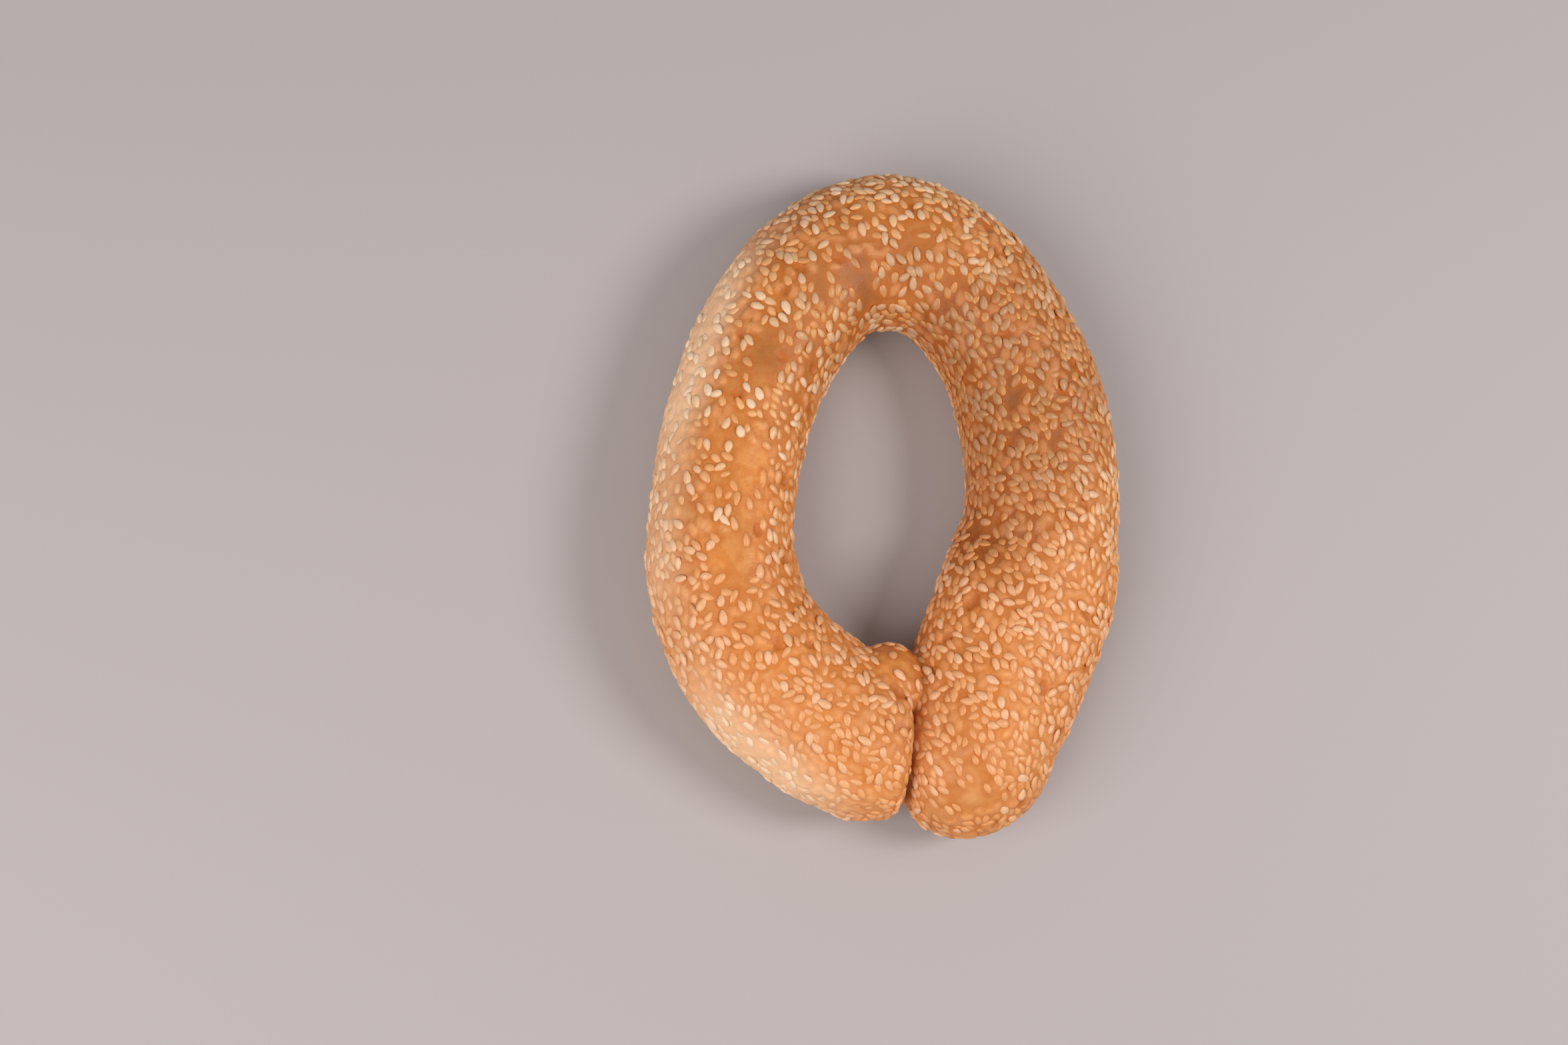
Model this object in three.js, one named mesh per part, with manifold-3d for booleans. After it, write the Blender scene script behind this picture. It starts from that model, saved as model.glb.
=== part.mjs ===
// A simit: one rope of bread dough bent into a long ring, its two thick ends pressed together side by side, rolled
// in sesame and baked on a flat tray. All sizes are in millimetres. The ring lies on its flat underside at z = 0 with
// its seeded face up. X runs across it, and +Y points away from the joined ends. The origin is the middle of its
// bounding box, on the underside.

import * as THREE from "three";
import { mergeVertices } from "three/addons/utils/BufferGeometryUtils.js";
import Module from "manifold-3d";

// Driving dimensions of the ring and the rope.
const ringWidth = 104;
const ringLength = 148.5;
const ropeWidth = 33;
const ropeHeight = 27;
const bellyHeight = 11.5; // the rope's widest line, above the tray
const creaseX = 3.5; // the joint between the two ends, right of the ring's middle line
const crownX = 1.5; // the far end of the ring, where the two arms begin

// The rope's middle line, worked out from them: each arm runs from the crown to its flank in a rounded quarter, then
// in an easy bend to its tip beside the joint.
const halfSpan = (ringWidth - ropeWidth) / 2;
const crown = new THREE.Vector2(crownX, (ringLength - ropeWidth) / 2);

// capRoundness is the exponent of a rounded tip: 2 is an ellipse, more is blunter.
const arms = {
  left: {
    joinsFrom: 1, // it meets the joint from the left
    flank: new THREE.Vector2(-halfSpan - 0.6, -11),
    crownHandle: 0.58, // of the way across
    shoulderHandle: 0.5, // of the way down
    flankHandle: 27,
    tip: new THREE.Vector2(creaseX + 8, -57),
    tipHeadingDeg: -12,
    tipHandle: 23,
    capLength: 18,
    capRoundness: 2.8,
    // Share of ropeWidth at even steps from the crown to the tip.
    girths: [1.04, 1.0, 0.96, 0.94, 0.93, 0.99, 1.05, 1.06, 1.02],
  },
  right: {
    joinsFrom: -1,
    flank: new THREE.Vector2(halfSpan + 0.8, 4),
    crownHandle: 0.54,
    shoulderHandle: 0.54,
    flankHandle: 22,
    tip: new THREE.Vector2(creaseX + 10, -72),
    tipHeadingDeg: -106,
    tipHandle: 32,
    capLength: 20,
    capRoundness: 2.3,
    girths: [1.04, 0.97, 0.95, 1.0, 1.02, 1.17, 1.15, 1.06, 1.0],
  },
};
const lowestTurn = 1.35; // how far under its side a section may curl, in radians

// The two ends flatten each other where they meet, past this share of the arm.
const jointFrom = 0.5;
const squashStart = 5; // how far from the joint a side begins to flatten
const squashSlope = 0.1; // what is left of the reach past the joint

// The web of dough that fills the end of the hole, where the two arms come together, lower than their backs.
const webCentre = new THREE.Vector3(creaseX - 2.5, -41, 11.5);
const webSize = new THREE.Vector3(8.5, 9.5, 11);
const webSides = 12;

// The kink in the right arm, where the rope was bent inwards.
const kink = new THREE.Vector2(21.6, -7.8);
const kinkDepth = 1.6;
const kinkReach = 6.5;

// Slow waves in the crust where the hand rolled the rope: their direction in radians per millimetre, and height.
const crustWaves = [
  { direction: new THREE.Vector3(0.26, -0.09, 0), phase: 1.3, height: 0.4 },
  { direction: new THREE.Vector3(0.33, -0.29, 0), phase: 0.7, height: 0.28 },
  { direction: new THREE.Vector3(0, 0.47, 0.3), phase: 0, height: 0.2 },
];

// Resolution of the loft.
const ringStep = 5.5; // between sections along the rope
const capSections = 5;
const arcSides = 20; // sides of a section, above the flat underside

// Sesame seeds, at their true size.
const seedLength = 3.4;
const seedWidth = 2.0;
const seedThickness = 1.6;
const seedTaper = 0.22; // how much narrower the pointed end is
const seedBack = 0.08; // of its length, from the middle to the highest point of its back
const seedSunk = 0.2; // how deep its outline lies in the crust
const seedSides = 6;

// Their spread over each arm: two golden steps fill it evenly, and a little jitter breaks up the rows.
const seedsOnArm = 147;
const shareStep = 0.7548776662;
const turnStep = 0.569840291;
const shareJitter = 0.012;
const turnJitter = 0.03;
const turnMargin = 0.05; // kept free along the foot of the rope
const tipMargin = 3;
const crownMargin = 0.5;
const randomSeed = 11;

const wasm = await Module();
wasm.setup();

// A repeatable stream of numbers from 0 to 1.
function randomStream(seed) {
  let state = seed >>> 0;
  return () => {
    state = (state + 0x6d2b79f5) >>> 0;
    let t = state;
    t = Math.imul(t ^ (t >>> 15), t | 1);
    t ^= t + Math.imul(t ^ (t >>> 7), t | 61);
    return ((t ^ (t >>> 14)) >>> 0) / 2 ** 32;
  };
}

function smoothStep(t) {
  return THREE.MathUtils.smoothstep(t, 0, 1);
}

// The middle line of one arm, from the crown of the ring to the tip, in plan.
function middleLine(arm) {
  const heading = THREE.MathUtils.degToRad(arm.tipHeadingDeg);
  const across = arm.flank.x - crown.x;
  const down = arm.flank.y - crown.y;
  const afterCrown = new THREE.Vector2(crown.x + arm.crownHandle * across, crown.y);
  const beforeFlank = new THREE.Vector2(arm.flank.x, arm.flank.y - arm.shoulderHandle * down);
  const afterFlank = new THREE.Vector2(arm.flank.x, arm.flank.y - arm.flankHandle);
  const beforeTip = new THREE.Vector2(Math.cos(heading), Math.sin(heading))
    .multiplyScalar(-arm.tipHandle)
    .add(arm.tip);
  const path = new THREE.CurvePath();
  path.add(new THREE.CubicBezierCurve(crown, afterCrown, beforeFlank, arm.flank));
  path.add(new THREE.CubicBezierCurve(arm.flank, afterFlank, beforeTip, arm.tip));
  return path;
}

for (const arm of Object.values(arms)) {
  arm.line = middleLine(arm);
  arm.length = arm.line.getLength();
}

// The rope's width at a share of the arm's length, smoothly between its girths.
function widthAt(arm, share) {
  const steps = arm.girths.length - 1;
  const i = Math.min(Math.floor(share * steps), steps - 1);
  const between = smoothStep(share * steps - i);
  return ropeWidth * THREE.MathUtils.lerp(arm.girths[i], arm.girths[i + 1], between);
}

// The unevenness of the crust at a point. It fades out towards the flat underside.
function unevenness(point) {
  let sum = 0;
  for (const { direction, phase, height } of crustWaves) {
    sum += height * Math.sin(direction.dot(point) + phase);
  }
  return sum * smoothStep(point.z / bellyHeight);
}

// Where the flattening moves an x: a point near the joint or past it comes to lie in the joint's plane.
function againstJoint(x, side) {
  const past = side * (x - creaseX) + squashStart;
  if (past <= 0) return x;
  const kept = squashStart * (1 - Math.exp(-past / squashStart)) + squashSlope * past;
  return creaseX + side * (Math.min(kept, past) - squashStart);
}

// A point of the crust: share runs along the arm, and turn from 0 to 1 over the top, from one foot to the other.
function crustPoint(arm, share, turn) {
  const fromTip = (1 - share) * arm.length;
  const into = Math.max(0, 1 - fromTip / arm.capLength);
  const round = Math.sqrt(Math.max(0, 1 - into ** arm.capRoundness));
  const centre = arm.line.getPointAt(share);
  const along = share > 0 ? arm.line.getTangentAt(share) : new THREE.Vector2(-arm.joinsFrom, 0);
  const outward = new THREE.Vector3(along.y, -along.x, 0);
  const halfWidth = (widthAt(arm, share) / 2) * round;
  const halfHeight = (ropeHeight - bellyHeight) * round;
  const footTurn = halfHeight > bellyHeight ? Math.asin(bellyHeight / halfHeight) : lowestTurn;
  const lowest = Math.min(footTurn, lowestTurn);
  const angle = THREE.MathUtils.lerp(-lowest, Math.PI + lowest, turn);
  const point = new THREE.Vector3(centre.x, centre.y, bellyHeight + halfHeight * Math.sin(angle));
  point.addScaledVector(outward, halfWidth * Math.cos(angle));
  const bump = unevenness(point) * round;
  point.addScaledVector(outward, bump * Math.cos(angle));
  point.z += bump * Math.max(0, Math.sin(angle));
  const fromKink = Math.hypot(point.x - kink.x, point.y - kink.y) / kinkReach;
  point.z -= kinkDepth * Math.exp(-(fromKink ** 2)) * smoothStep(point.z / bellyHeight);
  if (share > jointFrom) point.x = againstJoint(point.x, arm.joinsFrom);
  point.z = Math.max(0, point.z);
  return point;
}

// The shares of the arm's length at which it has a section: even steps, then closer together round the tip.
function sectionShares(arm) {
  const straight = 1 - arm.capLength / arm.length;
  const steps = Math.round((straight * arm.length) / ringStep);
  const shares = [];
  for (let i = 0; i <= steps; i++) shares.push((straight * i) / steps);
  for (let i = 1; i < capSections; i++) {
    const intoCap = Math.sin((i / capSections) * (Math.PI / 2));
    shares.push(straight + (1 - straight) * intoCap);
  }
  return shares;
}

// One arm of the rope as a closed surface: sections joined by quads, a flat end at the crown and a point at the tip.
function armGeometry(arm) {
  const shares = sectionShares(arm);
  const perSection = arcSides + 1;
  const points = [];
  for (const share of shares) {
    for (let j = 0; j < perSection; j++) points.push(crustPoint(arm, share, j / arcSides));
  }
  const tip = points.length;
  points.push(crustPoint(arm, 1, 0.5));
  const indices = [];
  for (let i = 0; i + 1 < shares.length; i++) {
    for (let j = 0; j < perSection; j++) {
      const a = i * perSection + j;
      const b = i * perSection + ((j + 1) % perSection);
      indices.push(a, b + perSection, b, a, a + perSection, b + perSection);
    }
  }
  const last = (shares.length - 1) * perSection;
  for (let j = 0; j < perSection; j++) indices.push(last + j, tip, last + ((j + 1) % perSection));
  for (let j = 1; j + 1 < perSection; j++) indices.push(0, j, j + 1);
  const geometry = new THREE.BufferGeometry().setFromPoints(points);
  geometry.setIndex(indices);
  return geometry;
}

// The web between the arms: a ball of dough pressed to its size, mostly inside them.
function webGeometry() {
  const geometry = new THREE.SphereGeometry(1, webSides, webSides / 2);
  geometry.rotateX(Math.PI / 2);
  geometry.scale(webSize.x, webSize.y, webSize.z);
  geometry.translate(webCentre.x, webCentre.y, webCentre.z);
  geometry.deleteAttribute("normal");
  geometry.deleteAttribute("uv");
  return geometry;
}

// A sesame seed lying along X: a flat almond, narrower at one end, its back rising to one point off the middle.
function seedGeometry() {
  const points = [];
  for (let k = 0; k < seedSides; k++) {
    const turn = (k * 2 * Math.PI) / seedSides;
    const reach = (Math.cos(turn) * seedLength) / 2;
    const widest = Math.abs(Math.sin(turn)) > 0.5 ? Math.sign(Math.sin(turn)) : 0;
    const narrowed = 1 - seedTaper * Math.cos(turn);
    points.push(new THREE.Vector3(reach, (widest * seedWidth * narrowed) / 2, 0));
  }
  const above = points.length;
  const below = above + 1;
  points.push(new THREE.Vector3(-seedBack * seedLength, 0, seedThickness / 2));
  points.push(new THREE.Vector3(-seedBack * seedLength, 0, -seedThickness / 2));
  const indices = [];
  for (let k = 0; k < seedSides; k++) {
    const next = (k + 1) % seedSides;
    indices.push(k, next, above, next, k, below);
  }
  const geometry = new THREE.BufferGeometry().setFromPoints(points);
  geometry.setIndex(indices);
  return geometry;
}

// Places of the seeds on one arm.
function seedPlaces(arm, random) {
  const places = [];
  for (let i = 0; i < seedsOnArm; i++) {
    const evenShare = ((i + 0.5) * shareStep) % 1;
    const evenTurn = ((i + 0.5) * turnStep) % 1;
    const share = evenShare + (random() - 0.5) * shareJitter;
    const turn = turnMargin + (1 - 2 * turnMargin) * (evenTurn + (random() - 0.5) * turnJitter);
    places.push({
      share: THREE.MathUtils.clamp(share, crownMargin / arm.length, 1 - tipMargin / arm.length),
      turn: THREE.MathUtils.clamp(turn, turnMargin, 1 - turnMargin),
      spin: random() * Math.PI,
    });
  }
  return places;
}

// The matrix that lays a seed on the crust, flat against it.
function layOn(arm, { share, turn, spin }) {
  const nearby = 0.004;
  const here = crustPoint(arm, share, turn);
  const ahead = crustPoint(arm, Math.min(share + nearby, 1), turn).sub(here);
  const around = crustPoint(arm, share, turn + nearby).sub(here);
  const normal = new THREE.Vector3().crossVectors(around, ahead).normalize();
  const lengthwise = around.normalize().applyAxisAngle(normal, spin);
  const sideways = new THREE.Vector3().crossVectors(normal, lengthwise);
  here.addScaledVector(normal, -seedSunk);
  return new THREE.Matrix4().makeBasis(lengthwise, sideways, normal).setPosition(here);
}

function toSolid(geometry, matrix = new THREE.Matrix4()) {
  const placed = mergeVertices(geometry.clone().applyMatrix4(matrix), 1e-4);
  const mesh = new wasm.Mesh({
    numProp: 3,
    vertProperties: placed.attributes.position.array,
    triVerts: new Uint32Array(placed.index.array),
  });
  return new wasm.Manifold(mesh);
}

function toGeometry(solid) {
  const mesh = solid.getMesh();
  const positions = new THREE.BufferAttribute(new Float32Array(mesh.vertProperties), mesh.numProp);
  const geometry = new THREE.BufferGeometry();
  geometry.setAttribute("position", positions);
  geometry.setIndex(new THREE.BufferAttribute(mesh.triVerts, 1));
  return geometry;
}

// The bread: both arms joined at the crown and at the crease, with the web and the seeds fused on.
const random = randomStream(randomSeed);
const seed = seedGeometry();
const solids = [toSolid(webGeometry())];
for (const arm of Object.values(arms)) {
  solids.push(toSolid(armGeometry(arm)));
  for (const place of seedPlaces(arm, random)) solids.push(toSolid(seed, layOn(arm, place)));
}
const bodies = wasm.Manifold.union(solids).decompose();
bodies.sort((a, b) => b.volume() - a.volume());

const geometry = toGeometry(bodies[0]);
geometry.computeBoundingBox();
const middle = geometry.boundingBox.getCenter(new THREE.Vector3());
geometry.translate(-middle.x, -middle.y, 0);
geometry.computeVertexNormals();

const crustMaterial = new THREE.MeshStandardMaterial({ color: 0xd9985a, roughness: 0.62, metalness: 0 });
const simitMesh = new THREE.Mesh(geometry, crustMaterial);
simitMesh.name = "simit";

const simit = new THREE.Group();
simit.add(simitMesh);

export default simit;
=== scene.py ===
"""A simit on a table: a ring of bread rolled from one rope of dough, covered in sesame. Metres, +Z up."""

import math
from collections import namedtuple

import bpy
import numpy as np
from mathutils import Matrix, Vector, noise
from mathutils.geometry import interpolate_bezier
from mathutils.kdtree import KDTree


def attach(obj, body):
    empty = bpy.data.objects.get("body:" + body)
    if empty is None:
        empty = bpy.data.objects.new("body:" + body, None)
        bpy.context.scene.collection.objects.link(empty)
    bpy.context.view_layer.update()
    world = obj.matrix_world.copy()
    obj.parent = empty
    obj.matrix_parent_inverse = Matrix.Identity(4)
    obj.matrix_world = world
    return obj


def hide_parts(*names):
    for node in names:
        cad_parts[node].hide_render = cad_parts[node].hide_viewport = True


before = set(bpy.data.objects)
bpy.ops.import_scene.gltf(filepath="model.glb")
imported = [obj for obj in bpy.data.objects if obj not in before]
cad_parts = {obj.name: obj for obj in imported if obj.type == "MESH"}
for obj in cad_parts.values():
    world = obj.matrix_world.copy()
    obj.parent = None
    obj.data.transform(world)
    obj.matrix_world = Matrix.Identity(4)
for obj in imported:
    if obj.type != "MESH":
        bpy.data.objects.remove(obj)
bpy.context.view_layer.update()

# The rope of dough. It is wheat dough rolled out by hand to a rope thicker at its ends, bent into a long
# ring, and its two ends are pressed together side by side. It was baked lying on a flat tray, so its
# underside is flat.

mm = 0.001
ring_width = 104 * mm
ring_length = 148.5 * mm
rope_width = 33 * mm
rope_height = 27 * mm
belly_height = 11.5 * mm  # the rope's widest line
crown = Vector((1.5 * mm, (ring_length - rope_width) / 2, 0))
half_span = (ring_width - rope_width) / 2
section_sides = 64
section_step = 3 * mm
cap_sections = 8
line_points = 200  # on each half of an arm's middle line
heading_step = 0.5 * mm  # how far each way an arm's heading is taken

left_arm = {
    "flank": Vector((-half_span - 0.6 * mm, -11 * mm, 0)),
    "crown_handle": 0.58,
    "shoulder_handle": 0.5,
    "flank_handle": 27 * mm,
    "tip": Vector((11.5 * mm, -57 * mm, 0)),
    "tip_heading": math.radians(-12),
    "tip_handle": 23 * mm,
    "cap_length": 18 * mm,
    "cap_roundness": 2.8,
    "girths": (1.04, 1.0, 0.96, 0.94, 0.93, 0.99, 1.05, 1.06, 1.02),
}
right_arm = {
    "flank": Vector((half_span + 0.8 * mm, 4 * mm, 0)),
    "crown_handle": 0.54,
    "shoulder_handle": 0.54,
    "flank_handle": 22 * mm,
    "tip": Vector((13.5 * mm, -72 * mm, 0)),
    "tip_heading": math.radians(-106),
    "tip_handle": 32 * mm,
    "cap_length": 20 * mm,
    "cap_roundness": 2.3,
    "girths": (1.04, 0.97, 0.95, 1.0, 1.02, 1.17, 1.15, 1.06, 1.0),
}


def smooth_step(t):
    t = np.clip(t, 0, 1)
    return t * t * (3 - 2 * t)


def rising(value, start, reach):
    """0 up to the start and 1 from one reach above it on."""
    return smooth_step((value - start) / reach)


def falling(value, end, reach):
    """1 up to one reach below the end and 0 from the end on."""
    return smooth_step((end - value) / reach)


def select_only(piece):
    bpy.ops.object.select_all(action="DESELECT")
    piece.select_set(True)
    bpy.context.view_layer.objects.active = piece


def middle_line(arm):
    """Points close together along one arm's middle line, from the crown of the ring to the tip."""
    across = arm["flank"].x - crown.x
    down = arm["flank"].y - crown.y
    heading = Vector((math.cos(arm["tip_heading"]), math.sin(arm["tip_heading"]), 0))
    after_crown = crown + Vector((arm["crown_handle"] * across, 0, 0))
    before_flank = arm["flank"] - Vector((0, arm["shoulder_handle"] * down, 0))
    after_flank = arm["flank"] - Vector((0, arm["flank_handle"], 0))
    before_tip = arm["tip"] - arm["tip_handle"] * heading
    quarter = interpolate_bezier(crown, after_crown, before_flank, arm["flank"], line_points)
    bend = interpolate_bezier(arm["flank"], after_flank, before_tip, arm["tip"], line_points)
    return np.array(quarter[:-1] + bend)


def arm_sections(arm):
    """Sections along one arm: middle, heading in plan, half width and half height above the belly."""
    line = middle_line(arm)
    reach = np.concatenate(([0], np.cumsum(np.linalg.norm(np.diff(line, axis=0), axis=1))))
    length = reach[-1]
    straight = 1 - arm["cap_length"] / length
    even = np.linspace(0, straight, round(straight * length / section_step))
    cap = straight + (1 - straight) * np.sin(np.arange(1, cap_sections) / cap_sections * math.pi / 2)
    sections = []
    for share in np.concatenate((even, cap)):
        middle = Vector([np.interp(share * length, reach, line[:, k]) for k in range(3)])
        near = np.clip([share * length - heading_step, share * length + heading_step], 0, length)
        step = [np.diff(np.interp(near, reach, line[:, k]))[0] for k in range(2)]
        heading = math.atan2(step[1], step[0])
        steps = len(arm["girths"]) - 1
        i = min(int(share * steps), steps - 1)
        between = smooth_step(share * steps - i)
        girth = arm["girths"][i] * (1 - between) + arm["girths"][i + 1] * between
        into = max(0, 1 - (1 - share) * length / arm["cap_length"])
        rounding = math.sqrt(1 - into ** arm["cap_roundness"])
        half_width = rope_width / 2 * girth * rounding
        half_height = (rope_height - belly_height) * rounding
        sections.append((middle, heading, half_width, half_height))
    return sections


def roll_rope():
    """One rope, extruded section by section from the left tip over the crown to the right tip."""
    left = [(m, h + math.pi, w, t) for m, h, w, t in reversed(arm_sections(left_arm))]
    sections = left + arm_sections(right_arm)[1:]
    lift = Vector((0, 0, belly_height))
    middle, heading, half_width, half_height = sections[0]
    bpy.ops.object.select_all(action="DESELECT")
    bpy.ops.mesh.primitive_circle_add(
        vertices=section_sides, radius=1, fill_type="NGON", location=middle + lift,
        rotation=(0, math.pi / 2, heading))
    rope = bpy.context.object
    rope.name = "bread"
    rope.scale = (half_height, half_width, 1)
    bpy.ops.object.transform_apply(location=True, rotation=True, scale=True)
    bpy.ops.object.mode_set(mode="EDIT")
    bpy.ops.mesh.select_all(action="SELECT")
    for new_middle, new_heading, new_width, new_height in sections[1:]:
        bpy.ops.mesh.extrude_region_move(TRANSFORM_OT_translate={"value": new_middle - middle})
        turn = (new_heading - heading + math.pi) % (2 * math.pi) - math.pi
        bpy.ops.transform.rotate(value=-turn, orient_axis="Z", center_override=new_middle + lift)
        wider = new_width / half_width
        bpy.ops.transform.resize(
            value=(wider, wider, new_height / half_height), center_override=new_middle + lift)
        middle, heading, half_width, half_height = new_middle, new_heading, new_width, new_height
    bpy.ops.object.mode_set(mode="OBJECT")
    return rope, len(left)


def points_of(piece):
    points = np.empty(len(piece.data.vertices) * 3)
    piece.data.vertices.foreach_get("co", points)
    return points.reshape(-1, 3)


def normals_of(piece):
    normals = np.empty(len(piece.data.vertices) * 3)
    piece.data.vertex_normals.foreach_get("vector", normals)
    return normals.reshape(-1, 3)


def put_points(piece, points):
    piece.data.vertices.foreach_set("co", points.ravel())
    piece.data.update()


def put_values(piece, name, values):
    layer = piece.data.attributes.new(name, "FLOAT", "POINT")
    layer.data.foreach_set("value", values)


def fix_order(piece):
    """Sort corners and faces by place, because extrude orders them differently in each run."""
    points = points_of(piece)
    order = np.lexsort(points.T)
    rank = np.argsort(order)
    faces = []
    for polygon in piece.data.polygons:
        corners = [int(rank[k]) for k in polygon.vertices]
        start = corners.index(min(corners))
        faces.append(tuple(corners[start:] + corners[:start]))
    piece.data.clear_geometry()
    piece.data.from_pydata(points[order], [], sorted(faces))
    piece.data.update()


def mottle(points, size, seed):
    """Smooth noise between about -1 and 1 at each point, with blotches of the given size."""
    away = Vector((seed * 3.17, seed * 1.73, seed * 0.59))
    return np.array([noise.noise(Vector(p) / size + away) for p in points])


def spot(points, x, y, radius):
    """1 at a place seen from above and falling to 0 round it."""
    return np.exp(-(np.hypot(points[:, 0] - x, points[:, 1] - y) / radius) ** 2)


bread, left_count = roll_rope()

# Where an end runs into the other one it is squashed flat against it.
crease_x = 3.5 * mm
joint_reach = -20 * mm  # the arms press on each other below this line
squash_start = 5 * mm
squash_slope = 0.1

points = points_of(bread)
for first, last, side in ((0, left_count, 1), (left_count, None, -1)):
    arm_points = points[section_sides * first:None if last is None else section_sides * last]
    past = side * (arm_points[:, 0] - crease_x) + squash_start
    kept = squash_start * (1 - np.exp(-past / squash_start)) + squash_slope * past
    pressed = (past > 0) & (arm_points[:, 1] < joint_reach)
    arm_points[pressed, 0] = crease_x + side * (np.minimum(kept, past)[pressed] - squash_start)
put_points(bread, points)

select_only(bread)
bpy.ops.object.mode_set(mode="EDIT")
bpy.ops.mesh.select_all(action="SELECT")
bpy.ops.mesh.bisect(plane_co=(0, 0, 0), plane_no=(0, 0, 1), clear_inner=True, use_fill=True)
bpy.ops.mesh.select_all(action="SELECT")
bpy.ops.mesh.normals_make_consistent(inside=False)
bpy.ops.object.mode_set(mode="OBJECT")

# A web of dough squeezed out between the arms rounds the lower end of the hole.
web_centre = Vector((crease_x - 2.5 * mm, -41 * mm, 11.5 * mm))
web_size = Vector((8.5, 9.5, 11)) * mm
mesh_grain = 0.65 * mm

bpy.ops.object.select_all(action="DESELECT")
bpy.ops.mesh.primitive_uv_sphere_add(segments=32, ring_count=16, radius=1, location=web_centre)
web = bpy.context.object
web.scale = web_size
bpy.ops.object.transform_apply(location=True, rotation=True, scale=True)
bread.select_set(True)
bpy.context.view_layer.objects.active = bread
bpy.ops.object.join()
fix_order(bread)
bpy.ops.object.modifier_add(type="REMESH")
remesh = bread.modifiers[-1]
remesh.mode = "VOXEL"
remesh.voxel_size = mesh_grain
bpy.ops.object.modifier_apply(modifier=remesh.name)
bpy.ops.object.modifier_add(type="SMOOTH")
smooth = bread.modifiers[-1]
smooth.factor = 0.5
smooth.iterations = 4
bpy.ops.object.modifier_apply(modifier=smooth.name)

# The left end runs into the web without a crease.
merge_radius = 7 * mm
merge_floor = 3 * mm  # the foot below this height keeps its crease
merge_least = 0.02
merge_gain = 1.4

points = points_of(bread)
merged = spot(points, web_centre.x - 2 * mm, web_centre.y - 1 * mm, merge_radius)
merged *= falling(points[:, 0], crease_x - 0.8 * mm, 1.5 * mm) * (points[:, 2] > merge_floor)
group = bread.vertex_groups.new(name="merged")
for i in np.flatnonzero(merged > merge_least):
    group.add([int(i)], float(min(1, merge_gain * merged[i])), "REPLACE")
bpy.ops.object.modifier_add(type="SMOOTH")
smooth = bread.modifiers[-1]
smooth.vertex_group = group.name
smooth.factor = 0.8
smooth.iterations = 90
bpy.ops.object.modifier_apply(modifier=smooth.name)
bread.vertex_groups.clear()
bpy.ops.object.shade_smooth()

# Lumps left by the hands and the oven, the dent where the right arm bends, and the wrinkled underside.
lumps = ((17 * mm, 0.5 * mm), (6.5 * mm, 0.2 * mm), (2.6 * mm, 0.07 * mm))  # size of the lumps, height
lump_reach = 3 * mm  # the lumps fade out below this height
kink = Vector((21.6, -7.8, 0)) * mm
kink_depth = 1.5 * mm
kink_reach = 6.5 * mm
fold_heading = math.radians(-18)  # a shallow fold runs across the kink
fold_size = Vector((8.5, 1.6, 1.0)) * mm  # half length, half width, depth
fold_bend = 0.02 / mm
facing_down = -0.8
wrinkle_top = 0.5  # the wrinkles' heights are in mm
wrinkle_even = 0.16
wrinkle_broad = 0.2
wrinkle_fine = 0.16

points = points_of(bread)
normals = normals_of(bread)
off_tray = smooth_step(points[:, 2] / belly_height)
swell = sum(height * mottle(points, size, 4 + i) for i, (size, height) in enumerate(lumps))
points = points + normals * (swell * smooth_step(points[:, 2] / lump_reach))[:, None]
from_kink = points - np.array(kink)
fold_along = from_kink[:, 0] * math.cos(fold_heading) + from_kink[:, 1] * math.sin(fold_heading)
fold_across = from_kink[:, 1] * math.cos(fold_heading) - from_kink[:, 0] * math.sin(fold_heading)
fold_across = fold_across + fold_bend * fold_along ** 2
fold = fold_size.z * np.exp(-(fold_along / fold_size.x) ** 2 - (fold_across / fold_size.y) ** 2)
points[:, 2] -= (kink_depth * spot(points, kink.x, kink.y, kink_reach) + fold) * off_tray
middle = (points.min(0) + points.max(0)) / 2
points[:, :2] -= middle[:2]
under = (points[:, 2] < wrinkle_top * mm) & (normals[:, 2] < facing_down)
wrinkles = wrinkle_even + wrinkle_broad * mottle(points, 7 * mm, 11)
wrinkles += wrinkle_fine * np.abs(mottle(points, 2.4 * mm, 12))
points[under, 2] = np.clip(wrinkles[under], 0, wrinkle_top) * mm
points[:, 2] = np.maximum(points[:, 2], 0)
put_points(bread, points)

# The crust. It is the rope's own skin, browned by the heat of the oven to a satin tan-gold. It is browner in
# patches on top, and pale at the foot and on some outer sides, where less of the heat reached it. Its brown
# also
# holds painted shade: more towards the crown, on the right arm and most on its inner wall, and in the fold at
# the kink. The halos round the seeds are browner crust with painted contact shade.

crust_gold = (0.69, 0.235, 0.04, 1)
crust_light = (0.79, 0.325, 0.082, 1)
# browned crust, and also painted shade where the brown mask stands in for shade
crust_brown_and_shade = (0.28, 0.083, 0.014, 1)
crust_pale = (0.90, 0.64, 0.41, 1)
crust_halo_and_shade = (0.47, 0.125, 0.018, 1)  # round the seeds: browner crust with painted contact shade
crust_film = (0.84, 0.42, 0.18, 1)  # over the seeds that are under the crust
brown_even = 0.14
brown_drift = 0.22
brown_blotch = 0.22
# browning and painted shade: the crown darker, as if less lit
crown_brown_and_shade = 0.32
# browning and painted shade: the right arm darker, and its inner wall darkest, as if shaded
right_brown_and_shade = 0.2
inner_wall_shade_and_brown = 0.65
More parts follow.
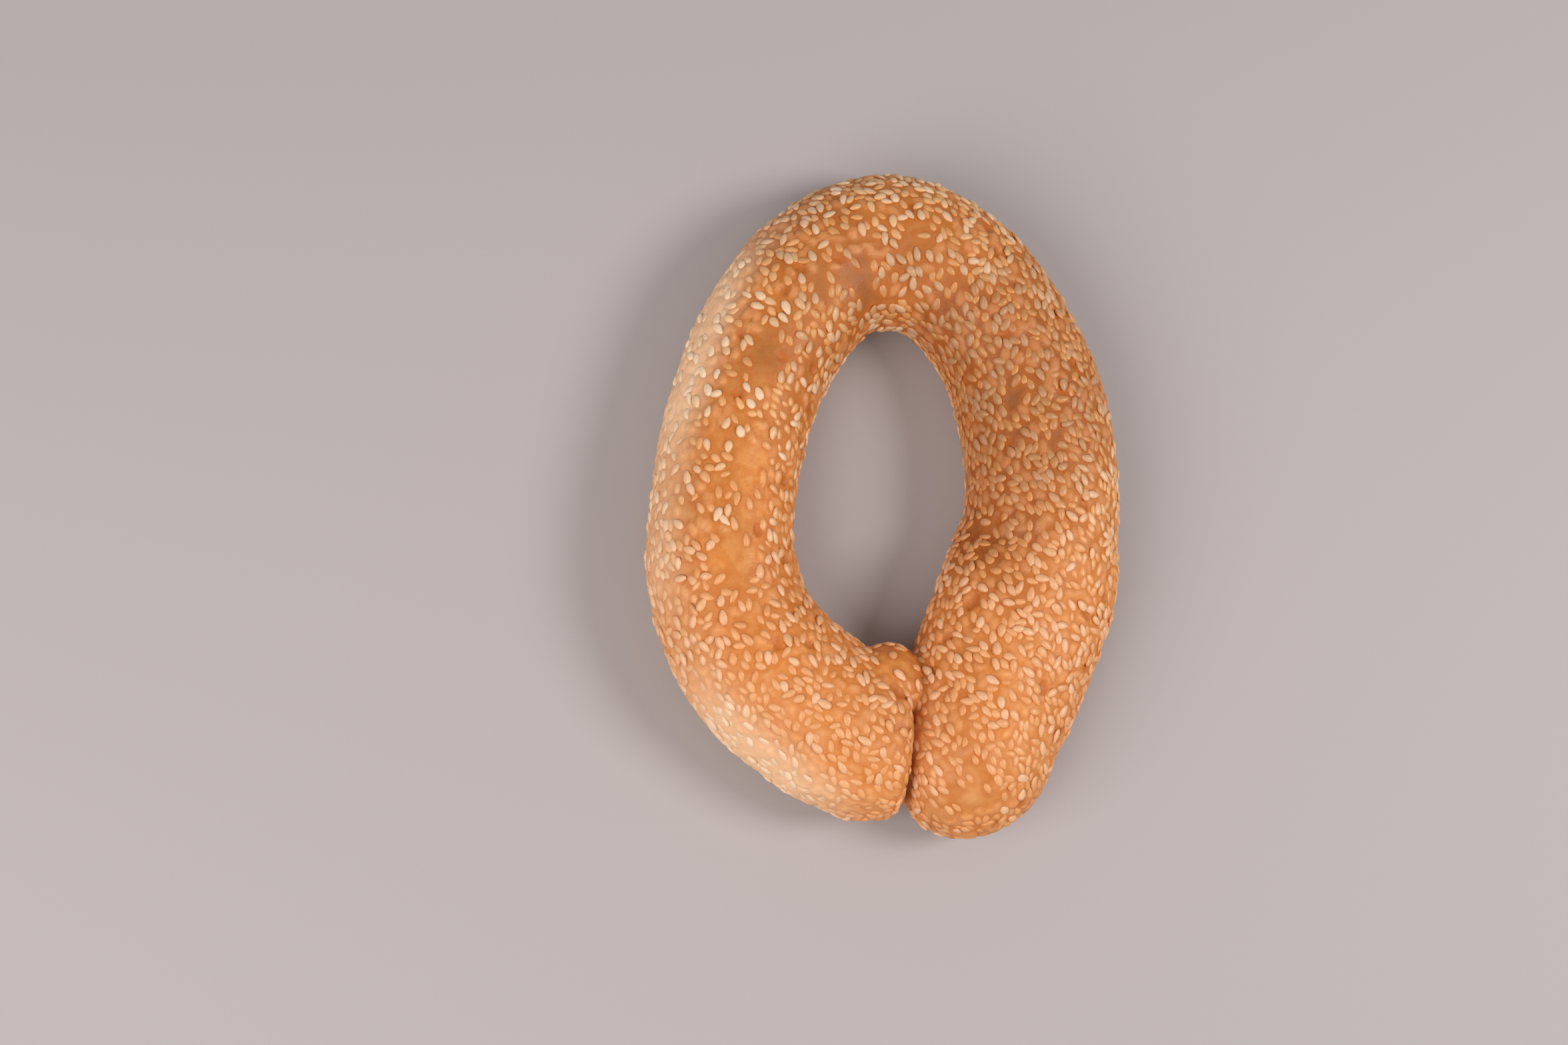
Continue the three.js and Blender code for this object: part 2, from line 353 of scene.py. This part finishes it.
# The patches at (14, 22), (15, 4), (27, 14) and (24, -14) on the right arm and (19, -9) in the fold at the
# kink are partly painted shade.
brown_and_shade_patches = (  # x and y in mm, radius, strength
    (-8, 47, 17, 0.35), (-28, 26, 12, 0.35), (-36, -8, 9, 0.2), (-25, -28, 10, 0.1), (19, -9, 7, 0.4),
    (14, 22, 13, 0.7), (15, 4, 10, 0.8), (27, 14, 16, 0.65), (24, -14, 14, 0.4), (13, -32, 11, 0.3),
    (30, 38, 14, 0.3), (-3, -50, 6, 0.1), (13, -64, 10, 0.3), (8, -45, 7, 0.1))
pale_patches = (  # x and y in mm, radius, strength, and the side it faces in degrees
    (-40, 42, 18, 1.0, 155), (-45, 18, 18, 1.0, 178), (-21, -67, 12, 0.8, 240), (-36, -54, 15, 0.9, 222),
    (-48, -16, 16, 0.6, 190))
pale_foot = 0.8
pale_underside = 0.85
pale_underside_blotch = 0.3


def pale_sides(points, normals):
    """How pale the outer sides are where the oven's heat reached them least."""
    pale = np.zeros(len(points))
    for x, y, radius, strength, side in pale_patches:
        facing = normals[:, 0] * math.cos(math.radians(side)) + normals[:, 1] * math.sin(math.radians(side))
        pale += strength * spot(points, x * mm, y * mm, radius * mm) * rising(facing, 0.26, 0.38)
    return pale * falling(points[:, 2], 27 * mm, 8 * mm)


def crust_values(piece):
    """How brown, painted shade included, and how pale the crust is at each point of the piece."""
    points = points_of(piece)
    normals = normals_of(piece)
    x, y, z = points.T
    up = normals[:, 2]
    drift = mottle(points, 22 * mm, 21)
    blotch = mottle(points, 8 * mm, 22)
    brown_and_shade = brown_even + brown_drift * drift + brown_blotch * blotch
    # More brown towards the crown: part browning, part painted shade.
    brown_and_shade += crown_brown_and_shade * rising(y, -15 * mm, 60 * mm)
    # More brown on the right arm, and most on its inner wall facing left: part browning, part painted shade.
    brown_and_shade += right_brown_and_shade * rising(x, 0, 30 * mm) * rising(y, -35 * mm, 30 * mm)
    inner_wall = rising(-normals[:, 0], 0, 0.8) * rising(x, 0, 8 * mm)
    inner_wall *= rising(y, -25 * mm, 20 * mm) * falling(y, 50 * mm, 15 * mm)
    brown_and_shade += inner_wall_shade_and_brown * inner_wall
    # Brown patches, some of them painted shade.
    for patch_x, patch_y, radius, strength in brown_and_shade_patches:
        brown_and_shade += strength * spot(points, patch_x * mm, patch_y * mm, radius * mm)
    brown_and_shade *= rising(z + 3 * mm * blotch, 0, 14 * mm) * (0.5 + 0.5 * smooth_step(up + 0.4))
    foot = 1 - rising(z + 2.5 * mm * mottle(points, 5 * mm, 23), 0.5 * mm, 8.5 * mm)
    pale = pale_foot * foot + pale_sides(points, normals)
    pale = np.where(up < -0.75, pale_underside + pale_underside_blotch * blotch, pale)
    return np.clip(brown_and_shade, 0, 1), np.clip(pale, 0, 1)


def new_material(name):
    material = bpy.data.materials.new(name)
    material.use_nodes = True
    tree = material.node_tree
    return material, tree.nodes, tree.links, tree.nodes["Principled BSDF"]


def named_value(nodes, name):
    node = nodes.new("ShaderNodeAttribute")
    node.attribute_name = name
    return node.outputs["Fac"]


def blend(nodes, links, share, first, second):
    """A colour mix. Each input is a socket or a colour."""
    node = nodes.new("ShaderNodeMix")
    node.data_type = "RGBA"
    links.new(share, node.inputs["Factor"])
    for name, value in (("A", first), ("B", second)):
        socket = next(i for i in node.inputs if i.name == name and i.type == "RGBA")
        if isinstance(value, tuple):
            socket.default_value = value
        else:
            links.new(value, socket)
    return next(o for o in node.outputs if o.type == "RGBA")


def make_grain():
    """A shader group that puts out soft blotches of a given size in the piece's own coordinates."""
    group = bpy.data.node_groups.new("baked grain", "ShaderNodeTree")
    for name, start in (("Size", 1 * mm), ("Detail", 2.0)):
        socket = group.interface.new_socket(name=name, in_out="INPUT", socket_type="NodeSocketFloat")
        socket.default_value = start
    group.interface.new_socket(name="Grain", in_out="OUTPUT", socket_type="NodeSocketFloat")
    taken = group.nodes.new("NodeGroupInput")
    given = group.nodes.new("NodeGroupOutput")
    place = group.nodes.new("ShaderNodeTexCoord")
    over_size = group.nodes.new("ShaderNodeMath")
    over_size.operation = "DIVIDE"
    over_size.inputs[0].default_value = 1
    blotches = group.nodes.new("ShaderNodeTexNoise")
    group.links.new(taken.outputs["Size"], over_size.inputs[1])
    group.links.new(over_size.outputs["Value"], blotches.inputs["Scale"])
    group.links.new(taken.outputs["Detail"], blotches.inputs["Detail"])
    group.links.new(place.outputs["Object"], blotches.inputs["Vector"])
    group.links.new(blotches.outputs["Fac"], given.inputs["Grain"])
    return group


baked_grain = make_grain()


def grain(nodes, size, detail=2.0):
    node = nodes.new("ShaderNodeGroup")
    node.node_tree = baked_grain
    node.inputs["Size"].default_value = size
    node.inputs["Detail"].default_value = detail
    return node.outputs["Grain"]


def spread(nodes, links, value, low, high, to_low=0.0, to_high=1.0):
    """A value stretched from one range to another, with soft ends."""
    node = nodes.new("ShaderNodeMapRange")
    node.interpolation_type = "SMOOTHSTEP"
    for name, number in (("From Min", low), ("From Max", high), ("To Min", to_low), ("To Max", to_high)):
        node.inputs[name].default_value = number
    links.new(value, node.inputs["Value"])
    return node.outputs["Result"]


def bumped(nodes, links, height, distance, strength=1.0, under=None):
    """A normal that follows a height, on top of another normal if one is given."""
    node = nodes.new("ShaderNodeBump")
    node.inputs["Distance"].default_value = distance
    node.inputs["Strength"].default_value = strength
    links.new(height, node.inputs["Height"])
    if under is not None:
        links.new(under, node.inputs["Normal"])
    return node.outputs["Normal"]


def make_crust():
    material, nodes, links, skin = new_material("crust")
    fine = spread(nodes, links, grain(nodes, 2.2 * mm, 3), 0.35, 0.65)
    colour = blend(nodes, links, fine, crust_gold, crust_light)
    colour = blend(nodes, links, named_value(nodes, "brown_and_shade"), colour, crust_brown_and_shade)
    colour = blend(nodes, links, named_value(nodes, "pale"), colour, crust_pale)
    colour = blend(nodes, links, named_value(nodes, "film"), colour, crust_film)
    colour = blend(nodes, links, named_value(nodes, "halo_and_shade"), colour, crust_halo_and_shade)
    links.new(colour, skin.inputs["Base Color"])
    pores = bumped(nodes, links, grain(nodes, 0.5 * mm, 3), 0.14 * mm, 0.6)
    dimples = bumped(nodes, links, grain(nodes, 1.6 * mm, 2), 0.25 * mm, 0.5, pores)
    links.new(dimples, skin.inputs["Normal"])
    rough = spread(nodes, links, grain(nodes, 5 * mm), 0.3, 0.7, 0.42, 0.6)
    links.new(rough, skin.inputs["Roughness"])
    skin.inputs["Specular IOR Level"].default_value = 0.32
    skin.inputs["Subsurface Weight"].default_value = 0.1
    skin.inputs["Subsurface Radius"].default_value = (1.2, 0.6, 0.3)
    skin.inputs["Subsurface Scale"].default_value = 1 * mm
    return material


bread.data.materials.clear()
bread.data.materials.append(make_crust())
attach(bread, "root")
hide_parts("simit")

# The sesame seeds. They are hulled sesame that stuck to the wet dough, so they lie flat and half sunk in the
# crust. Some are under a film of it, and some fell out and left a pit. The rest are three pieces: pale ones,
# toasted ones, and ones glazed with the browned wash.

seed_length = (2.75 * mm, 3.55 * mm)
seed_width = (1.75 * mm, 2.25 * mm)
seed_thickness = (1.0 * mm, 1.3 * mm)
seed_point = 0.34  # how much narrower the pointed end is than the round one
seed_kinds = ("pale_sesame", "toasted_sesame", "glazed_sesame")
seed_sunk = {"pale_sesame": (0.22, 0.52), "toasted_sesame": (0.3, 0.65), "glazed_sesame": (0.5, 0.74)}
seed_lean = math.radians(120)  # the way most of them point, seen from above
seed_lean_spread = math.radians(30)
seed_pitch = math.radians(5)
seed_roll = math.radians(8)
seed_turns_tried = 3
stray_share = 0.12  # these point any way
ghost_share = 0.18  # these are under the crust
ghosts_on_pale_sides = 0.4
pit_share = 0.02
seed_crowding = 0.58  # how much of a seed's width keeps its neighbours off
tray_facing = -0.93  # seeds whose place faces down more than this lie flat in the underside
tray_gap = 0.3 * mm
seeds_on_square_mm = 0.215
most_crowded = 2  # times the usual number
more_on_right = 0.3
more_on_ends = 1.15
more_on_pale_sides = 0.35
clumping = 0.75
share_underneath = 0.05
bare_places = (  # x, y and radius in mm
    (-8.8, 44.9, 5), (-33, 3, 5), (16.9, -65, 7), (20, -8.7, 4), (0.8, -38.3, 6), (25.8, 20.6, 2.5),
    (26.9, 13, 2.5), (34.5, 10.1, 3), (-36, -17, 5), (-31, 27, 4), (4, 56, 4))
bare_share = 0.97
bare_reach = 1.15
bare_ragged = 0.7
thin_places = (  # x, y and radius in mm, and the share of the seeds missing
    (-8, 46, 18, 0.8), (-29, 28, 16, 0.75), (-36, 6, 18, 0.85), (-38, -15, 16, 0.85), (-29, -32, 13, 0.7),
    (8, 50, 9, 0.5))


def seed_density(points, normals):
    """Seeds on a square millimetre at each point of the crust."""
    x, y, z = points.T
    up = normals[:, 2]
    thick = np.full(len(points), 1.0)
    thick += more_on_right * (rising(x, 8 * mm, 14 * mm) * (1 - rising(y, 40 * mm, 20 * mm)))
    thick += more_on_ends * rising(-y, 34 * mm, 14 * mm)
    facing_up = rising(up, 0.35, 0.4)
    for place_x, place_y, radius, missing in thin_places:
        thick *= 1 - missing * facing_up * spot(points, place_x * mm, place_y * mm, radius * mm)
    thick *= 1 + clumping * mottle(points, 9 * mm, 31)
    ragged = mottle(points, 3.5 * mm, 32)
    top = smooth_step(z / (14 * mm))
    for place_x, place_y, radius in bare_places:
        gap = spot(points, place_x * mm, place_y * mm, bare_reach * radius * mm) * (1 + bare_ragged * ragged)
        thick *= 1 - bare_share * top * rising(gap, 0.25, 0.5)
    thick *= 1 + more_on_pale_sides * np.clip(pale_sides(points, normals), 0, 1)
    thick *= rising(z, 1 * mm, 3.5 * mm)
    thick = np.where(up < facing_down, share_underneath, thick)
    return np.clip(thick, 0, most_crowded) * seeds_on_square_mm


def kind_shares(place):
    """The shares of the three kinds at one place: more glazed ones on the left and on the two ends."""
    left = float(rising(-place.x, 5 * mm, 15 * mm))
    ends = float(rising(-place.y, 38 * mm, 14 * mm))
    glazed = 0.26 + 0.2 * left * (1 - ends) + 0.42 * ends
    pale = (1 - glazed) * (0.5 + 0.15 * left - 0.1 * ends)
    return pale, 1 - pale - glazed, glazed


Seed = namedtuple("Seed", "place normal along long wide thick kind sunk")
steps_round = [(i, j, k) for i in (-1, 0, 1) for j in (-1, 0, 1) for k in (-1, 0, 1)]


def strew(piece, draw):
    """Seeds drawn one by one at random on the piece's faces, each kept if it is clear of those before it."""
    points = points_of(piece)
    normals = normals_of(piece)
    corners = np.empty(len(piece.data.polygons) * 4, dtype=int)
    piece.data.polygons.foreach_get("vertices", corners)
    corners = corners.reshape(-1, 4)
    a, b, c, d = (points[corners[:, k]] for k in range(4))
    first_half = np.cross(b - a, c - a)
    other_half = np.cross(c - a, d - a)
    area = (np.linalg.norm(first_half, axis=1) + np.linalg.norm(other_half, axis=1)) / 2
    density = seed_density((a + b + c + d) / 4, normals[corners].mean(1)) / mm ** 2
    wanted = area * density
    count = round(wanted.sum())
    tries = draw.choice(len(corners), size=count * 6, p=wanted / wanted.sum())
    steep_heading = Vector((0.3, 0.2, 1))
    seeds = []
    discs = {}
    cell = 3 * mm
    for face in tries:
        u, v = draw.random(2)
        q = corners[face]
        weights = np.array([(1 - u) * (1 - v), u * (1 - v), u * v, (1 - u) * v])
        place = Vector(weights @ points[q])
        normal = Vector(weights @ normals[q]).normalized()
        long = draw.uniform(*seed_length) / 2
        wide = draw.uniform(*seed_width) / 2
        thick = draw.uniform(*seed_thickness) / 2
        for turn in range(seed_turns_tried):
            angle = draw.normal(seed_lean, seed_lean_spread)
            if draw.random() < stray_share:
                angle = draw.uniform(0, 2 * math.pi)
            along = Vector((math.cos(angle), math.sin(angle), 0))
            along = along - along.dot(normal) * normal
            if along.length < 0.3:
                along = steep_heading - steep_heading.dot(normal) * normal
            along.normalize()
            if draw.random() < 0.5:
                along = -along
            own = [place + along * (k * (long - wide)) for k in (-0.9, 0, 0.9)]
            reach = wide * seed_crowding
            near = {tuple(int(math.floor(x / cell)) + s for x, s in zip(place, step)) for step in steps_round}
            clear = all(
                (p - other).length > reach + other_reach
                for key in near for other, other_reach in discs.get(key, ()) for p in own)
            if clear:
                break
        if not clear:
            continue
        chance = draw.random()
        on_pale = float(pale_sides(np.array([place]), np.array([normal]))[0])
        if chance < ghost_share + ghosts_on_pale_sides * on_pale:
            kind = "ghost"
        elif chance < ghost_share + pit_share:
            kind = "pit"
        else:
            kind = seed_kinds[draw.choice(3, p=kind_shares(place))]
        flat_on_tray = normal.z < tray_facing
        if flat_on_tray and kind in ("ghost", "pit"):
            continue
        if not flat_on_tray and place.z < long * abs(along.z) + thick + tray_gap:
            continue
        for p in own:
            key = tuple(int(math.floor(x / cell)) for x in p)
            discs.setdefault(key, []).append((p, reach))
        sunk = draw.uniform(*seed_sunk.get(kind, (0.5, 0.5)))
        seeds.append(Seed(place, normal, along, long, wide, thick, kind, sunk))
        if len(seeds) == count:
            break
    return seeds


draw = np.random.default_rng(7)
seeds = strew(bread, draw)

# The crust round, over and under the seeds. A halo is the browner crust at a seed's rim, with painted contact
# shade in it.
rim_rise = 0.17 * mm
rim_halo_and_shade = 0.5
mound_share = 0.95  # of the covered seed's half thickness
mound_film = 0.42
mound_halo_and_shade = 0.4
ends_film = 0.42
pit_depth = 0.45 * mm
pit_rise = 0.2 * mm
# a lost seed's pit is darkened all over: painted shade in the hollow
pit_shade = 0.8
underside_depth = 0.4 * mm
underside_halo_and_shade = 0.3


def press_in(piece, seeds, tree):
    """The crust rises round each seed, covers the ghosts and keeps the pits of lost seeds."""
    points = points_of(piece)
    normals = normals_of(piece)
    rise = np.zeros(len(points))
    hollow = np.zeros(len(points))
    halo_and_shade = np.zeros(len(points))
    film = ends_film * rising(-points[:, 1], 38 * mm, 16 * mm) * smooth_step(mottle(points, 5 * mm, 24) + 0.5)
    for place, normal, along, long, wide, thick, kind, sunk in seeds:
        near = np.array([i for _, i, _ in tree.find_range(place, long + 1.4 * mm)])
        if len(near) == 0:
            continue
        away = points[near] - np.array(place)
        u = away @ np.array(along)
        v = away @ np.array(normal.cross(along))
        level = np.hypot(u / long, v / wide)  # 0 in the seed's middle and 1 at its rim
        outside = np.maximum(level - 1, 0) * wide
        rim = np.exp(-((outside - 0.15 * mm) / (0.35 * mm)) ** 2)
        if normal.z < tray_facing:
            hollow[near] = np.maximum(hollow[near], underside_depth * falling(level, 1.15, 0.35))
            halo_and_shade[near] = np.maximum(halo_and_shade[near], underside_halo_and_shade * np.exp(-(outside / (0.4 * mm)) ** 2))
        elif kind in seed_sunk:
            rise[near] = np.maximum(rise[near], rim_rise * rim * (level > 0.8))
            halo_and_shade[near] = np.maximum(halo_and_shade[near], rim_halo_and_shade * np.exp(-(outside / (0.6 * mm)) ** 2))
        elif kind == "ghost":
            mound = np.sqrt(np.maximum(1 - (level / 1.15) ** 2, 0))
            rise[near] = np.maximum(rise[near], mound_share * thick * mound)
            film[near] = np.maximum(film[near], mound_film * falling(level, 1.25, 0.5))
            halo_and_shade[near] = np.maximum(halo_and_shade[near], mound_halo_and_shade * rim * (level > 1))
        else:
            hollow[near] = np.maximum(hollow[near], pit_depth * falling(level, 1.1, 0.5))
            rise[near] = np.maximum(rise[near], pit_rise * rim * (level > 1))
            halo_and_shade[near] = np.maximum(halo_and_shade[near], pit_shade * falling(level, 1.4, 0.4))
    rise[normals[:, 2] < -0.6] = 0
    points = points + normals * (rise - hollow)[:, None]
    points[:, 2] = np.maximum(points[:, 2], 0)
    put_points(piece, points)
    return halo_and_shade, film


brown_and_shade, pale = crust_values(bread)
crust_tree = KDTree(len(bread.data.vertices))
for i, p in enumerate(points_of(bread)):
    crust_tree.insert(p, i)
crust_tree.balance()
halo_and_shade, film = press_in(bread, seeds, crust_tree)
for name, values in (("brown_and_shade", brown_and_shade), ("pale", pale), ("halo_and_shade", halo_and_shade * (1 - 0.6 * pale)), ("film", film)):
    put_values(bread, name, values)


def one_seed():
    """A seed 2 long, 2 wide and 2 thick along X, Y and Z, with its point at +X."""
    bpy.ops.object.select_all(action="DESELECT")
    bpy.ops.mesh.primitive_uv_sphere_add(segments=8, ring_count=6, radius=1, rotation=(0, math.pi / 2, 0))
    seed = bpy.context.object
    bpy.ops.object.transform_apply(location=True, rotation=True, scale=True)
    shape = points_of(seed)
    taper = 1 - seed_point * rising(shape[:, 0], -0.2, 1.2)
    plump = np.hypot(shape[:, 1], shape[:, 2]).clip(1e-6) ** -0.2
    shape[:, 1:] *= (taper * np.where(plump > 2, 1, plump))[:, None]
    corners = [tuple(polygon.vertices) for polygon in seed.data.polygons]
    bpy.data.objects.remove(seed)
    return shape, corners


coat_at_ends = 0.5
coat_start = 18 * mm
coat_reach = 45 * mm


def coat_share(place):
    """How much of a seed's own colour the browned wash hides, most on the two ends."""
    return coat_at_ends * float(falling(place.y, coat_start, coat_reach))


def seed_piece(name, seeds, draw):
    """All seeds of one kind as one mesh."""
    shape, corners = one_seed()
    points = []
    faces = []
    values = {"tint": [], "glazed": [], "toasted_and_shade": [], "paled": [], "coated": []}
    for place, normal, along, long, wide, thick, kind, sunk in seeds:
        pitch = draw.normal(0, seed_pitch)
        roll = draw.normal(0, seed_roll)
        bend = np.array([
            [math.cos(pitch), 0, math.sin(pitch)],
            [math.sin(roll) * math.sin(pitch), math.cos(roll), -math.sin(roll) * math.cos(pitch)],
            [-math.cos(roll) * math.sin(pitch), math.sin(roll), math.cos(roll) * math.cos(pitch)]])
        lift = thick * (1 - 2 * sunk)
        own = (shape * (long, wide, thick)) @ bend.T
        own = own @ np.array([along, normal.cross(along), normal]) + np.array(place + normal * lift)
        if normal.z < tray_facing:
            own[:, 2] += 0.03 * mm - own[:, 2].min()
        elif own[:, 2].min() < 0:
            own[:, 2] -= own[:, 2].min()
        first = len(points) * len(shape)
        points.append(own)
        faces += [tuple(first + k for k in corner) for corner in corners]
        nearest = crust_tree.find(place)[1]
        values["tint"].append(np.full(len(shape), draw.random()))
        values["glazed"].append(falling(shape[:, 2], sunk * 2 - 1 + 0.85, 0.8))
        values["toasted_and_shade"].append(np.full(len(shape), brown_and_shade[nearest]))
        values["paled"].append(np.full(len(shape), pale[nearest]))
        values["coated"].append(np.full(len(shape), coat_share(place)))
    mesh = bpy.data.meshes.new(name)
    mesh.from_pydata(np.concatenate(points), [], faces)
    piece = bpy.data.objects.new(name, mesh)
    bpy.context.collection.objects.link(piece)
    for value_name, parts in values.items():
        put_values(piece, value_name, np.concatenate(parts))
    select_only(piece)
    bpy.ops.object.shade_smooth()
    return piece


seed_cream = (0.80, 0.60, 0.41, 1)
seed_straw = (0.72, 0.45, 0.23, 1)
seed_tan = (0.66, 0.31, 0.10, 1)
seed_honey = (0.82, 0.47, 0.205, 1)
seed_toast_and_shade = (0.38, 0.155, 0.042, 1)  # on browner crust, and darker as painted shade where that crust is painted darker
seed_glaze = (0.67, 0.27, 0.07, 1)  # the sunk lower half
seed_wash = (0.71, 0.29, 0.105, 1)
seed_raw = (0.88, 0.66, 0.45, 1)  # on paler crust


def make_seed_skin(name, light, dark):
    material, nodes, links, skin = new_material(name)
    colour = blend(nodes, links, named_value(nodes, "tint"), light, dark)
    # Seeds follow the crust's brown, painted shade included.
    toasted_and_shade = spread(nodes, links, named_value(nodes, "toasted_and_shade"), 0.3, 1, 0, 0.8)
    colour = blend(nodes, links, toasted_and_shade, colour, seed_toast_and_shade)
    colour = blend(nodes, links, named_value(nodes, "glazed"), colour, seed_glaze)
    colour = blend(nodes, links, named_value(nodes, "coated"), colour, seed_wash)
    paled = spread(nodes, links, named_value(nodes, "paled"), 0, 1, 0, 0.75)
    colour = blend(nodes, links, paled, colour, seed_raw)
    links.new(colour, skin.inputs["Base Color"])
    links.new(bumped(nodes, links, grain(nodes, 0.5 * mm, 2), 0.08 * mm, 0.4), skin.inputs["Normal"])
    skin.inputs["Roughness"].default_value = 0.42
    skin.inputs["Specular IOR Level"].default_value = 0.5
    skin.inputs["Subsurface Weight"].default_value = 0.25
    skin.inputs["Subsurface Radius"].default_value = (1.0, 0.6, 0.35)
    skin.inputs["Subsurface Scale"].default_value = 0.7 * mm
    return material


for name, light, dark in (
        ("pale_sesame", seed_cream, seed_straw), ("toasted_sesame", seed_straw, seed_tan),
        ("glazed_sesame", seed_honey, seed_tan)):
    piece = seed_piece(name, [seed for seed in seeds if seed.kind == name], draw)
    piece.data.materials.append(make_seed_skin(name, light, dark))
    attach(piece, "root")

# The stage. It is a plain pale floor under soft window light from the right, seen as in the photo, from a
# little left of and below the upright of the ring.

floor_drop = 0.2 * mm
floor_width = 20
floor_colour = (0.42, 0.385, 0.385, 1)
room_colour = (0.95, 0.93, 0.95, 1)
room_strength = 0.4
lens_length = 50
sensor_width = 36
lens_pixels = 3266.7  # the lens's length in the photo's pixels
camera_distance = 480.4 * mm
camera_lean = math.tan(math.radians(12))
camera_target = Vector((0, 0, 13 * mm))
target_aside = (154.5 / lens_pixels, 39 / lens_pixels)  # the ring is a little right of and above the middle

bpy.ops.object.select_all(action="DESELECT")
bpy.ops.mesh.primitive_plane_add(size=floor_width, location=(0, 0, -floor_drop))
floor = bpy.context.object
floor.name = "floor"
material, nodes, links, skin = new_material("floor")
skin.inputs["Base Color"].default_value = floor_colour
skin.inputs["Roughness"].default_value = 0.85
skin.inputs["Specular IOR Level"].default_value = 0.2
floor.data.materials.append(material)


def soft_light(name, place, size, power, colour):
    bpy.ops.object.light_add(type="AREA", location=place)
    lamp = bpy.context.object
    lamp.name = name
    lamp.data.shape = "DISK"
    lamp.data.size = size
    lamp.data.energy = power
    lamp.data.color = colour
    lamp.rotation_euler = (-Vector(place)).to_track_quat("-Z", "Y").to_euler()


soft_light("window", (0.52, -0.04, 0.58), 0.3, 3.6, (1, 0.97, 0.94))
soft_light("room", (-0.46, -0.32, 0.5), 0.6, 4.0, (1, 0.95, 0.91))
world = bpy.data.worlds.new("room")
world.use_nodes = True
world.node_tree.nodes["Background"].inputs["Color"].default_value = room_colour
world.node_tree.nodes["Background"].inputs["Strength"].default_value = room_strength
bpy.context.scene.world = world

bpy.ops.object.camera_add()
camera = bpy.context.object
camera.data.lens = lens_length
camera.data.sensor_width = sensor_width
back = Vector((-camera_lean, -camera_lean, 1)).normalized()
across = Vector((0, 1, 0)).cross(back).normalized()
look = Matrix((across, back.cross(across), back)).transposed().to_quaternion()
aside = Vector((target_aside[0], target_aside[1], -1)).rotation_difference(Vector((0, 0, -1)))
camera.location = camera_target + camera_distance * back
camera.rotation_euler = (look @ aside).to_euler()
camera.data.clip_start = 10 * mm
bpy.context.scene.camera = camera
bpy.context.scene.view_settings.view_transform = "Standard"
